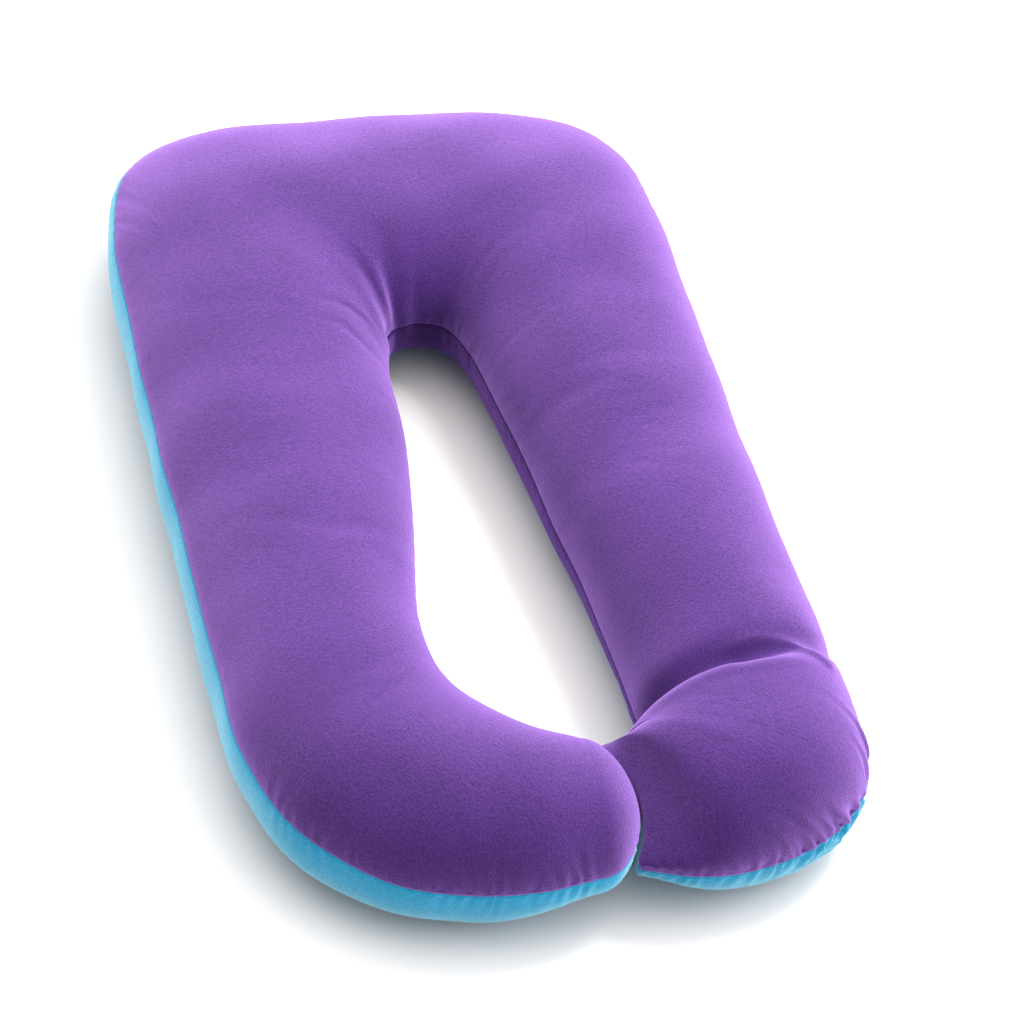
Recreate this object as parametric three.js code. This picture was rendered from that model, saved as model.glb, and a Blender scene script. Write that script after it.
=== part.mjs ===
// U-shaped pregnancy pillow: a stuffed tube bent into an almost closed U, lying on its back.
// Millimetres. +Z is up, +Y runs from the feet to the head end, and +X is the right leg's side.
// The origin is on the surface that the pillow lies on, under the middle of its box.
import * as THREE from 'three';

// Section of the tube, whose angles run from its outer side over the crown
const WIDEST_LEVEL = 88;        // height at which the tube is widest
const CROWN_POWER = 2.15;       // superellipse power above the widest level
const BELLY_POWER = 2.6;        // and below it
const FLATTENING = 6;           // how far the round belly would reach below the floor, cut flat
const LOWER_SEAM_DROP = 37;     // degrees of the inner band's lower seam below the widest level
const BAND_FROM = 2;            // row of the station table where the inner band starts
const BAND_TO = 28;             // and where it ends
const BAND_END_SHARE = 0.1;     // share of its width that the band keeps there
const SEAM_DRAW = 3;            // how far a main seam is drawn in
const SEAM_SHOULDER = 6;        // degrees from a seam to where the cloth is at its full size

// Feet
const LEFT_TIP_LENGTH = 68;     // from the last row of the station table to the tip
const RIGHT_TIP_LENGTH = 22;
const TIP_POWER = 1.8;          // bluntness of both tips
const TOE_LIFT = 40;            // how far the belly is off the floor at the first and the last row
const FOOT_GAP = 3.5;           // between the left tip and the dent it presses into the right foot
const DENT_BLEND = 16;          // how far the dent's rim is rounded
const DENTED_ROWS = 9;          // rows of the station table, up to the right tip, that the dent reaches

// Cloth and seams
const FOLD_FADE = 25;           // degrees below the widest level at which the folds have run out
const CLOTH = 2;                // thickness of a sewn panel
const PIECE_GAP = 0.3;          // between two pieces

// Fineness of the solids
const STEPS_PER_ROW = 2;
const TIP_RINGS = 4;
const CROWN_STEPS = 12;
const BAND_STEPS = 3;
const BASE_STEPS = 11;

const PURPLE = 0x7d50b3;
const BLUE = 0x5db9de;

// The tube's two rails at its widest level, its crown's height, and how many degrees the outer and
// the inner seam lie above the widest level, from the left tip to the right
const STATIONS = [
  { name: 'left tip', outer: [20, -732], inner: [30, -517], height: 175, seam: 4, innerSeam: 3 },
  { name: 'left toe', outer: [-60, -747], inner: [-28, -491], height: 186, seam: 4, innerSeam: 3 },
  { name: 'left foot', outer: [-143, -739], inner: [-80, -439], height: 191, seam: 3, innerSeam: 3 },
  { name: 'left turn', outer: [-249, -704], inner: [-103, -397], height: 194, seam: 6, innerSeam: 3 },
  { name: 'left heel', outer: [-334, -626], inner: [-112, -349], height: 196, seam: 10, innerSeam: 3 },
  { name: 'left leg, low', outer: [-382, -503], inner: [-110, -269], height: 196, seam: 13, innerSeam: 3 },
  { name: 'left leg, lower half', outer: [-395, -344], inner: [-98, -179], height: 195, seam: 16, innerSeam: 3 },
  { name: 'left leg, middle', outer: [-400, -120], inner: [-75, -57], height: 195, seam: 17, innerSeam: 3 },
  { name: 'left leg, upper half', outer: [-404, 110], inner: [-60, 78], height: 196, seam: 17, innerSeam: 3 },
  { name: 'left shoulder', outer: [-404, 324], inner: [-57, 193], height: 198, seam: 17, innerSeam: 3 },
  { name: 'left corner, side', outer: [-397, 521], inner: [-48, 252], height: 200, seam: 17, innerSeam: 3 },
  { name: 'left corner', outer: [-358, 660], inner: [-30, 290], height: 200, seam: 16, innerSeam: 3 },
  { name: 'left corner, top', outer: [-246, 727], inner: [-8, 308], height: 200, seam: 15, innerSeam: 3 },
  { name: 'head, left', outer: [-65, 743], inner: [12, 313], height: 198, seam: 14, innerSeam: 3 },
  { name: 'head, right', outer: [124, 743], inner: [31, 306], height: 198, seam: 14, innerSeam: 3 },
  { name: 'right corner, top', outer: [295, 710], inner: [44, 287], height: 200, seam: 14, innerSeam: 3 },
  { name: 'right corner', outer: [372, 635], inner: [57, 259], height: 200, seam: 14, innerSeam: 3 },
  { name: 'right corner, side', outer: [394, 497], inner: [67, 217], height: 200, seam: 14, innerSeam: 3 },
  { name: 'right shoulder', outer: [394, 318], inner: [76, 150], height: 198, seam: 14, innerSeam: 3 },
  { name: 'right leg, upper half', outer: [392, 54], inner: [89, 24], height: 196, seam: 14, innerSeam: 2 },
  { name: 'right leg, middle', outer: [395, -197], inner: [109, -140], height: 194, seam: 13, innerSeam: -2 },
  { name: 'right leg, low', outer: [398, -337], inner: [124, -329], height: 191, seam: 12, innerSeam: -6 },
  { name: 'above the buckle', outer: [399, -391], inner: [128, -435], height: 186, seam: 11, innerSeam: -8 },
  { name: 'buckle', outer: [401, -421], inner: [126, -483], height: 180, seam: 9, innerSeam: -8 },
  { name: 'below the buckle', outer: [405, -459], inner: [120, -497], height: 187, seam: 7, innerSeam: -8 },
  { name: 'right heel', outer: [404, -519], inner: [112, -504], height: 191, seam: 5, innerSeam: -6 },
  { name: 'right turn, side', outer: [396, -590], inner: [104, -508], height: 192, seam: 2, innerSeam: -4 },
  { name: 'right turn', outer: [363, -654], inner: [97, -512], height: 191, seam: -1, innerSeam: -2 },
  { name: 'right turn, front', outer: [297, -701], inner: [90, -515], height: 186, seam: -4, innerSeam: 0 },
  { name: 'right foot', outer: [205, -728], inner: [84, -513], height: 169, seam: -4, innerSeam: 0 },
  { name: 'right toe', outer: [140, -730], inner: [77, -504], height: 131, seam: -5, innerSeam: 0 },
  { name: 'right tip', outer: [78, -711], inner: [58, -504], height: 101, seam: -10, innerSeam: 0 },
];

// Folds: each is a soft trough along a path in plan, deepest where the path starts
const FOLDS = [
  { name: 'buckle', depth: 20, endDepth: 4, width: 22,
    path: [[113, -487], [147, -481], [217, -465], [297, -456], [403, -419]] },
  { name: 'arch valley', depth: 13, endDepth: 0, width: 26, path: [[-1, 283], [-11, 343], [-9, 433]] },
  { name: 'arch crook, left', depth: 7, endDepth: 0, width: 18, path: [[-39, 275], [-65, 338], [-93, 393]] },
  { name: 'arch crook, right', depth: 6, endDepth: 0, width: 22, path: [[35, 278], [67, 338], [97, 403]] },
];

const rad = THREE.MathUtils.degToRad;
const up = new THREE.Vector3(0, 0, 1);

// Value at u on the smooth curve through one component of the station table
function smooth(values, u) {
  const i = Math.min(Math.floor(u), values.length - 2);
  const t = u - i;
  const b = values[i];
  const c = values[i + 1];
  const a = i > 0 ? values[i - 1] : 2 * b - c;
  const d = i + 2 < values.length ? values[i + 2] : 2 * c - b;
  const bend = 2 * a - 5 * b + 4 * c - d;
  const twist = -a + 3 * b - 3 * c + d;
  return 0.5 * (2 * b + (c - a) * t + bend * t * t + twist * t * t * t);
}

// Section of the tube at u: its middle, the plan direction to the outer rail and its half width
function section(u) {
  const at = (pick) => smooth(STATIONS.map(pick), u);
  const outer = new THREE.Vector3(at((s) => s.outer[0]), at((s) => s.outer[1]), WIDEST_LEVEL);
  const inner = new THREE.Vector3(at((s) => s.inner[0]), at((s) => s.inner[1]), WIDEST_LEVEL);
  const across = outer.clone().sub(inner);
  return {
    middle: outer.clone().add(inner).multiplyScalar(0.5),
    halfWidth: across.length() / 2,
    outward: across.normalize(),
    height: at((s) => s.height),
    seam: at((s) => s.seam),
    innerSeam: at((s) => s.innerSeam),
    shrink: 1,
    lift: bellyLift(u),
    band: bandShare(u),
  };
}

// How far the belly is raised at u: both toes curve up off the floor
function bellyLift(u) {
  const last = STATIONS.length - 1;
  const left = 1 - THREE.MathUtils.smoothstep(u, 0, 2);
  const right = THREE.MathUtils.smoothstep(u, last - 3, last);
  return TOE_LIFT * Math.max(left, right);
}

// Share of its full width that the inner band has at u: it runs out to a point near each tip
function bandShare(u) {
  const leftEnd = THREE.MathUtils.smoothstep(u, BAND_FROM - 0.5, BAND_FROM + 2);
  const rightEnd = 1 - THREE.MathUtils.smoothstep(u, BAND_TO - 3, BAND_TO + 0.5);
  return Math.max(BAND_END_SHARE, Math.min(leftEnd, rightEnd));
}

// Rings that close a tip: the section slides forward and shrinks
function tipSections(base, forward, length) {
  const rings = [];
  for (let ring = 1; ring < TIP_RINGS; ring += 1) {
    const along = Math.sin((ring / TIP_RINGS) * Math.PI / 2);
    const shrink = (1 - along ** TIP_POWER) ** (1 / TIP_POWER);
    const middle = base.middle.clone().addScaledVector(forward, length * along);
    rings.push({ ...base, middle, shrink, halfWidth: base.halfWidth * shrink });
  }
  return rings;
}

// Angles round a section: over the crown, down the inner band, and under the base to the start
function sectionAngles({ seam, innerSeam, band }) {
  const upperSeam = 180 - innerSeam;
  const lowerSeam = upperSeam + (innerSeam + LOWER_SEAM_DROP) * band;
  const angles = [seam];
  for (let i = 0; i <= CROWN_STEPS - 2; i += 1) {
    const t = i / (CROWN_STEPS - 2);
    angles.push(THREE.MathUtils.lerp(seam + SEAM_SHOULDER, upperSeam - SEAM_SHOULDER, t));
  }
  for (let i = 0; i < BAND_STEPS; i += 1) {
    angles.push(THREE.MathUtils.lerp(upperSeam, lowerSeam, i / BAND_STEPS));
  }
  for (let i = 0; i < BASE_STEPS; i += 1) {
    angles.push(THREE.MathUtils.lerp(lowerSeam, 360 + seam, i / BASE_STEPS));
  }
  return angles;
}

// Point of the plain tube at an angle of a section
function tubePoint(s, angle) {
  const c = Math.cos(rad(angle));
  const h = Math.sin(rad(angle));
  const power = h >= 0 ? CROWN_POWER : BELLY_POWER;
  const side = Math.sign(c) * Math.abs(c) ** (2 / power);
  const rise = Math.abs(h) ** (2 / power) * s.shrink;
  const point = s.middle.clone().addScaledVector(s.outward, s.halfWidth * side);
  if (h >= 0) {
    point.z = WIDEST_LEVEL + (s.height - WIDEST_LEVEL) * rise;
  } else {
    point.z = Math.max(0, WIDEST_LEVEL - (WIDEST_LEVEL + FLATTENING - s.lift) * rise);
  }
  return point;
}

// Distance in plan from a point to a fold's path, and how far along the path that is
function nearestOnPath(point, path) {
  let best = { distance: Infinity, along: 0 };
  for (let i = 0; i + 1 < path.length; i += 1) {
    const [ax, ay] = path[i];
    const [dx, dy] = [path[i + 1][0] - ax, path[i + 1][1] - ay];
    const raw = ((point.x - ax) * dx + (point.y - ay) * dy) / (dx * dx + dy * dy);
    const t = THREE.MathUtils.clamp(raw, 0, 1);
    const distance = Math.hypot(point.x - ax - t * dx, point.y - ay - t * dy);
    if (distance < best.distance) best = { distance, along: (i + t) / (path.length - 1) };
  }
  return best;
}

// Draws a point in towards the tube's core by the folds, which fade out below the widest level
function fold(point, s, angle) {
  const fade = THREE.MathUtils.smoothstep(angle < 90 ? angle : 180 - angle, -FOLD_FADE, FOLD_FADE / 2);
  let depth = 0;
  for (const f of FOLDS) {
    const near = nearestOnPath(point, f.path);
    const here = THREE.MathUtils.lerp(f.depth, f.endDepth, near.along);
    depth += here * Math.exp(-((near.distance / f.width) ** 2));
  }
  return point.add(s.middle.clone().sub(point).setLength(depth * fade * s.shrink));
}

// Moves a point of the right foot, at its own level, forward out of the space that the left tip fills
function dent(point, base, forward) {
  const away = point.clone().sub(base.middle);
  const side = Math.abs(away.dot(base.outward)) / (base.halfWidth + FOOT_GAP);
  const reach = away.z >= 0 ? base.height - WIDEST_LEVEL : WIDEST_LEVEL + FLATTENING;
  const level = Math.abs(away.z) / (reach + FOOT_GAP);
  const power = away.z >= 0 ? CROWN_POWER : BELLY_POWER;
  const size = Math.min(1, (side ** power + level ** power) ** (1 / power));
  const front = (LEFT_TIP_LENGTH + FOOT_GAP) * (1 - size ** TIP_POWER) ** (1 / TIP_POWER);
  const push = DENT_BLEND * Math.log(1 + Math.exp((front - away.dot(forward)) / DENT_BLEND));
  return point.addScaledVector(forward, push);
}

// The whole skin as a grid of points: a row for each section, and a pole at each tip
function skin() {
  const last = STATIONS.length - 1;
  const sections = [];
  for (let i = 0; i <= last * STEPS_PER_ROW; i += 1) sections.push(section(i / STEPS_PER_ROW));
  const leftBase = sections[0];
  const rightBase = sections[sections.length - 1];
  const leftForward = leftBase.outward.clone().cross(up).negate();
  const rightForward = rightBase.outward.clone().cross(up);
  const leftRings = tipSections(leftBase, leftForward, LEFT_TIP_LENGTH).reverse();
  const rightRings = tipSections(rightBase, rightForward, RIGHT_TIP_LENGTH);
  const all = [...leftRings, ...sections, ...rightRings];
  const firstDented = leftRings.length + (last - DENTED_ROWS) * STEPS_PER_ROW;

  const points = [];
  all.forEach((s, k) => {
    const angles = sectionAngles(s);
    angles.forEach((angle, j) => {
      const point = fold(tubePoint(s, angle), s, angle);
      if (j === 0 || j === CROWN_STEPS) {
        point.add(s.middle.clone().sub(point).setLength(SEAM_DRAW * s.shrink));
      }
      points.push(k >= firstDented ? dent(point, leftBase, leftForward) : point);
    });
  });
  const leftPole = leftBase.middle.clone().addScaledVector(leftForward, LEFT_TIP_LENGTH);
  const rightPole = rightBase.middle.clone().addScaledVector(rightForward, RIGHT_TIP_LENGTH);
  points.push(leftPole, dent(rightPole, leftBase, leftForward));
  return { points, rows: all.length, columns: CROWN_STEPS + BAND_STEPS + BASE_STEPS };
}

// Name of the piece that shows in a column of the grid
function pieceAt(row, column) {
  const u = (row - (TIP_RINGS - 1)) / STEPS_PER_ROW;
  if (column < CROWN_STEPS) return 'filled_body';
  if (column >= CROWN_STEPS + BAND_STEPS) return 'underside_panel';
  return u >= BAND_FROM && u < BAND_TO ? 'inner_band' : 'filled_body';
}

// Triangles of the skin, each with the name of the piece that shows there
function skinFaces({ rows, columns, points }) {
  const faces = [];
  const at = (row, column) => row * columns + (column % columns);
  const leftPole = points.length - 2;
  const rightPole = points.length - 1;
  for (let j = 0; j < columns; j += 1) {
    faces.push({ corners: [leftPole, at(0, j + 1), at(0, j)], piece: pieceAt(0, j) });
    for (let k = 0; k + 1 < rows; k += 1) {
      const piece = pieceAt(k, j);
      faces.push({ corners: [at(k, j), at(k, j + 1), at(k + 1, j + 1)], piece });
      faces.push({ corners: [at(k, j), at(k + 1, j + 1), at(k + 1, j)], piece });
    }
    const end = rows - 1;
    faces.push({ corners: [rightPole, at(end, j), at(end, j + 1)], piece: pieceAt(end, j) });
  }
  return faces;
}

// Outward direction at each point of the skin
function skinNormals(points, faces) {
  const normals = points.map(() => new THREE.Vector3());
  for (const { corners } of faces) {
    const [a, b, c] = corners.map((i) => points[i]);
    const normal = b.clone().sub(a).cross(c.clone().sub(a));
    corners.forEach((i) => normals[i].add(normal));
  }
  return normals.map((n) => n.normalize());
}

// Edges of a set of faces that no other face of the set shares, in the direction of their face
function openEdges(faces) {
  const seen = new Set();
  const edges = faces.flatMap(({ corners: [a, b, c] }) => [[a, b], [b, c], [c, a]]);
  edges.forEach(([a, b]) => seen.add(`${a} ${b}`));
  return edges.filter(([a, b]) => !seen.has(`${b} ${a}`));
}

// A closed solid, put together from numbered points of two layers
class Solid {
  constructor() {
    this.positions = [];
    this.index = [];
    this.known = new Map();
  }

  vertex(layer, i, point) {
    const key = `${layer} ${i}`;
    if (!this.known.has(key)) {
      this.known.set(key, this.positions.length / 3);
      this.positions.push(point.x, point.y, point.z);
    }
    return this.known.get(key);
  }

  wall([a, b], outer, inner) {
    this.index.push(outer(b), outer(a), inner(a), outer(b), inner(a), inner(b));
  }

  mesh(name, colour) {
    const geometry = new THREE.BufferGeometry();
    geometry.setAttribute('position', new THREE.Float32BufferAttribute(this.positions, 3));
    geometry.setIndex(this.index);
    geometry.computeVertexNormals();
    const material = new THREE.MeshStandardMaterial({ color: colour, roughness: 0.9, metalness: 0 });
    const mesh = new THREE.Mesh(geometry, material);
    mesh.name = name;
    return mesh;
  }
}

// The stuffed tube: its own cloth where it shows, and set back by one panel and a gap elsewhere
function filledBody(points, normals, faces) {
  const solid = new Solid();
  const setBack = (i) => points[i].clone().addScaledVector(normals[i], -(CLOTH + PIECE_GAP));
  const shown = (i) => solid.vertex('shown', i, points[i]);
  const covered = (i) => solid.vertex('covered', i, setBack(i));
  const own = faces.filter((f) => f.piece === 'filled_body');
  const others = faces.filter((f) => f.piece !== 'filled_body');
  own.forEach((f) => solid.index.push(...f.corners.map(shown)));
  others.forEach((f) => solid.index.push(...f.corners.map(covered)));
  openEdges(own).forEach((edge) => solid.wall(edge, shown, covered));
  return solid.mesh('filled_body', PURPLE);
}

// A sewn panel: one thickness of cloth over its faces, drawn back a little from its seams
function panel(name, colour, points, normals, faces) {
  const own = faces.filter((f) => f.piece === name);
  const edges = openEdges(own);
  const inwards = new Map(edges.map(([a]) => [a, new THREE.Vector3()]));
  for (const { corners } of own) {
    const middle = corners.reduce((sum, i) => sum.add(points[i]), new THREE.Vector3()).divideScalar(3);
    corners.filter((i) => inwards.has(i)).forEach((i) => inwards.get(i).add(middle).sub(points[i]));
  }
  const place = (i, depth) => {
    const point = points[i].clone().addScaledVector(normals[i], -depth);
    return inwards.has(i) ? point.addScaledVector(inwards.get(i).normalize(), PIECE_GAP) : point;
  };
  const solid = new Solid();
  const outer = (i) => solid.vertex('outer', i, place(i, 0));
  const inner = (i) => solid.vertex('inner', i, place(i, CLOTH));
  for (const { corners } of own) {
    solid.index.push(...corners.map(outer));
    solid.index.push(...corners.map(inner).reverse());
  }
  edges.forEach((edge) => solid.wall(edge, outer, inner));
  return solid.mesh(name, colour);
}

function pillow() {
  const grid = skin();
  const faces = skinFaces(grid);
  const normals = skinNormals(grid.points, faces);
  const group = new THREE.Group();
  group.add(filledBody(grid.points, normals, faces));
  group.add(panel('underside_panel', BLUE, grid.points, normals, faces));
  group.add(panel('inner_band', PURPLE, grid.points, normals, faces));
  return group;
}

export default pillow();
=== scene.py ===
import math

import bpy
import numpy as np
from mathutils import Matrix, Vector


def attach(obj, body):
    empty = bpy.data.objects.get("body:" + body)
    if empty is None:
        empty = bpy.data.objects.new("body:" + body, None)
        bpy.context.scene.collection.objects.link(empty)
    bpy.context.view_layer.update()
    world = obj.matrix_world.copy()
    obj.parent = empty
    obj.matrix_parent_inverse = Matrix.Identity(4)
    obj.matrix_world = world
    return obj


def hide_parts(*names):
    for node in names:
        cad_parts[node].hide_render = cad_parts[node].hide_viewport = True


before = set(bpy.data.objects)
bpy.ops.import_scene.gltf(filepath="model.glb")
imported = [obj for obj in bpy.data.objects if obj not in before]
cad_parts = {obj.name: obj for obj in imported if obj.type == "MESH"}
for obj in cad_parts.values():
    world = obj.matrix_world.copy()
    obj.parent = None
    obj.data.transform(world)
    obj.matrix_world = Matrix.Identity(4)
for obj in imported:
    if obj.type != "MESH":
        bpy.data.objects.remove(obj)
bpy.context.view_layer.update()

MM = 0.001
TINY = 1e-12
UP = np.array([0.0, 0.0, 1.0])

# Section of the tube, whose angles (degrees) run from its outer side over the crown
WIDEST_LEVEL = 88 * MM
CROWN_POWER = 2.15
BELLY_POWER = 2.6
FLATTENING = 6 * MM
LOWER_SEAM_DROP = 37

# Strip round the inside, by rows of the station table: its ends, and where it widens and narrows
BAND_FROM = 2
BAND_TO = 28
BAND_WIDENS = (BAND_FROM - 0.5, BAND_FROM + 2)
BAND_NARROWS = (BAND_TO - 3, BAND_TO + 0.5)
BAND_END_SHARE = 0.1
BAND_WIDE_SHARE = 0.5

# Feet
LEFT_TIP_LENGTH = 68 * MM
RIGHT_TIP_LENGTH = 22 * MM
TIP_POWER = 1.8
TOE_LIFT = 40 * MM
LEFT_LIFT_ROWS = 2
RIGHT_LIFT_ROWS = 3
FOOT_GAP = 1 * MM
DENT_BLEND = 2.5 * MM
DENTED_ROWS = 9

# Cloth
FOLD_FADE = 25
CLOTH = 2 * MM
PIECE_GAP = 0.3 * MM

# Fineness of the pieces: rows on each tip, and columns of the crown, the strip and the underside
ROW_SPACING = 7 * MM
TIP_ROWS = (16, 10)
COLUMNS = (92, 22, 40)
SEAM_EDGES = np.array([0, 0.9, 1.9, 3.1, 4.6, 6.6, 9.4]) * MM
BAND_EDGES = 4
EDGES_ROOM = 5
PROFILE_SAMPLES = 240

# Fineness of the feet, by rows of the station table, and of the rails' measure
FEET_FINENESS = 1.3
LEFT_FOOT_ENDS = (3.5, 5)
RIGHT_FOOT_STARTS = (22.5, 24)
INNER_RAIL_SHARE = 0.8
RAIL_SAMPLES = 6000

# Hidden back of the stuffed body: columns between its rows of points
BACK_START = 4
BACK_BAND_STEP = 6
BACK_BASE_STEP = 5
BACK_END = 3

# Fineness of the simulated cloth
SIM_SPACING = 10.8 * MM
SIM_TIP_ROWS = (6, 3)
SIM_COLUMNS = (44, 10, 40)
SIM_EDGES = SEAM_EDGES[::3]

# Simulated cloth
SIM_FRAMES = 20
SIM_QUALITY = 6
PRESSURE = 4
CLOTH_MASS = 0.3
STRETCH_STIFFNESS = 18
SHEAR_STIFFNESS = 8
BENDING_STIFFNESS = 0.4
SEAM_SHRINK = 0.04
SHRINK_REACH = 11 * MM
LEAST_SHRINK = 0.03
RESTING_LEVEL = 1 * MM

# Shares of the simulated movement that the cover keeps
MOVE_CAP = 12 * MM
BROAD_BLUR = 6
FINE_BLUR = 1
BLUR_TAIL = 1.8
SWELL_SHARE = 0.2
WRINKLE_SHARE = 0.14
ARCH_WRINKLE_SHARE = 0.55
ARCH_PLACE = 340 * MM
ARCH_REACH = 150 * MM

# Unevenness of the filling
SEED = 7
SWELL_DEPTH = 1.3 * MM
SWELL_WAVES = 26
SWELL_LENGTHS = (0.12, 0.34)
SWELL_LEVELS = (10 * MM, 60 * MM)

# Seams, drawn in by a depth over a width on each side (mm)
OUTER_DRAW = [(1.2, 8), (1.1, 1.6)]
INNER_DRAW = [(1.2, 7), (1.1, 1.6)]
LOWER_DRAW = [(1.2, 5)]

# Shape of a gather, in shares of its own depth, width and length
GATHER_REACH = 110 * MM
GATHER_FLARE = 0.7
GATHER_FADE = 1.6
RIDGE_SHARE = 0.4
RIDGE_PLACE = 1.9
RIDGE_WIDTH = 0.85
SEAM_SHARE = 0.25
SEAM_HOLD = 7 * MM

# Ranges of the gathers' random places, and of their sizes against those in the tables
PLACE_RANGE = (0.1, 0.9)
DEPTH_RANGE = (0.45, 1.25)
WIDTH_RANGE = (0.7, 1.35)
LENGTH_RANGE = (0.6, 1.3)
SLANT_RANGE = (-0.25, 0.25)

# Pile of the plush
STREAK_SCALE = 560
STREAK_LENGTH = 2.6
LEG_BRUSHING = 40
FEET_BRUSHING = -65
FEET_EDGE = (-0.55, -0.4)
GRAIN_SCALE = 900
PILE_DETAIL = 2
GRAIN_SHARE = 0.35
MOTTLE_SCALE = 9
MOTTLE_DETAIL = 3
MOTTLE_SHARE = 0.14
TONE_PLACES = (0.38, 0.5, 0.62)
SHEEN_CONTRAST = 0.2
PILE_STRENGTH = 0.8
PILE_DEPTH = 1.3 * MM

# Studio
SURROUND_STRENGTH = 3.7
BRIGHT_SIDE = (0.7, 0.7, 0)
DIM_SIDE = 0.15
DIM_TO_BRIGHT = (-0.9, 0.7)
FLOOR_SIZE = 24
FLOOR_COLOUR = (0.7, 0.68, 0.67)
FLOOR_ROUGHNESS = 0.9
FLOOR_SHINE = 0.1
KEY_PLACE = (2.0, 0.9, 3.2)
KEY_TARGET = (0, 0, 0.1)
KEY_SIZE = 1.6
KEY_POWER = 130
KEY_COLOUR = (1, 0.995, 0.985)

# Camera (degrees, and pixels of the photograph), found from the pillow's outline
CAMERA_AZIMUTH = -17.5
CAMERA_ELEVATION = 42
CAMERA_ROLL = -7.5
CAMERA_TARGET = np.array([51.7, -78.1, 95]) * MM
CAMERA_DISTANCE = 5244 * MM
FOCAL_PIXELS = 4000
PHOTO_PIXELS = 1024
SENSOR_WIDTH = 36
NEAREST = 0.1
FARTHEST = 50

# The tube's two rails at its widest level, its crown's height and the degrees of the outer and the
# inner seam above the widest level: outer x, outer y, inner x, inner y, height (mm), seam, inner seam
STATIONS = {
    "left tip": (20, -732, 30, -517, 175, 4, 3),
    "left toe": (-60, -747, -28, -491, 186, 4, 3),
    "left foot": (-143, -739, -80, -439, 191, 3, 3),
    "left turn": (-249, -704, -103, -397, 194, 6, 3),
    "left heel": (-334, -626, -112, -349, 196, 10, 3),
    "left leg, low": (-382, -503, -110, -269, 196, 13, 3),
    "left leg, lower half": (-395, -344, -98, -179, 195, 16, 3),
    "left leg, middle": (-400, -120, -75, -57, 195, 17, 3),
    "left leg, upper half": (-404, 110, -60, 78, 196, 17, 3),
    "left shoulder": (-404, 324, -57, 193, 198, 17, 3),
    "left corner, side": (-397, 521, -48, 252, 200, 17, 3),
    "left corner": (-358, 660, -30, 290, 200, 16, 3),
    "left corner, top": (-246, 727, -8, 308, 200, 15, 3),
    "head, left": (-65, 743, 12, 313, 198, 14, 3),
    "head, right": (124, 743, 31, 306, 198, 14, 3),
    "right corner, top": (295, 710, 44, 287, 200, 14, 3),
    "right corner": (372, 635, 57, 259, 200, 14, 3),
    "right corner, side": (394, 497, 67, 217, 200, 14, 3),
    "right shoulder": (394, 318, 76, 150, 198, 14, 3),
    "right leg, upper half": (392, 54, 89, 24, 196, 14, 2),
    "right leg, middle": (395, -197, 109, -140, 194, 13, -2),
    "right leg, low": (398, -337, 124, -329, 191, 12, -6),
    "above the buckle": (399, -391, 128, -435, 186, 11, -8),
    "buckle": (401, -421, 126, -483, 180, 9, -8),
    "below the buckle": (405, -459, 120, -497, 187, 7, -8),
    "right heel": (404, -519, 112, -504, 191, 5, -6),
    "right turn, side": (396, -590, 104, -508, 192, 2, -4),
    "right turn": (363, -654, 97, -512, 191, -1, -2),
    "right turn, front": (297, -701, 90, -515, 186, -4, 0),
    "right foot": (205, -728, 84, -513, 169, -4, 0),
    "right toe": (140, -730, 77, -504, 131, -5, 0),
    "right tip": (78, -711, 58, -504, 101, -10, 0),
}
TABLE = np.array(list(STATIONS.values()), float)
TABLE[:, :5] *= MM
LAST = len(TABLE) - 1

# The fold that buckles the right leg: its path in plan, and its sizes (mm)
BUCKLE = {
    "path": [(113, -487), (147, -481), (217, -465), (297, -456), (403, -419)],
    "depth": 22, "end_depth": 3, "far_width": 26, "near_width": 11,
    "crest": 5, "crest_at": 17, "crest_width": 13,
    "lean": 9, "lean_at": 9, "lean_width": 9,
}

# Folds round the arch and above the buckle: path in plan, depth at its start and at its end, and width
# (mm). A ridge has a negative depth, and rises over the first share of its path.
ARCH_ROWS = (8, 19)
ARCH_FOLDS = [
    ([(-22, 283), (-31, 343), (-34, 433)], 14, 0, 17),
    ([(2, 290), (0, 310), (5, 353), (18, 400)], 5, 0, 11),
    ([(-24, 285), (-33, 330), (-42, 375)], 3, 0, 7),
    ([(-39, 275), (-65, 338), (-93, 393)], 5, 0, 12),
    ([(35, 278), (67, 338), (97, 403)], 5, 0, 20),
    ([(-33, 290), (-45, 318), (-58, 352), (-78, 395)], -4, 0, 8),
    ([(-51, 249), (-64, 283), (-92, 335), (-118, 375)], -1.5, 0, 9),
]
BUCKLE_ROWS = (20, 27)
BUCKLE_FOLDS = [
    ([(250, -467), (285, -461), (321, -460), (352, -459)], 4, 3, 12),
    ([(199, -462), (236, -445), (275, -436), (314, -438), (341, -446), (366, -466)], -4.5, -4, 8),
]
RIDGE_RISE = 0.3
PATH_SAMPLES = 60

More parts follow.
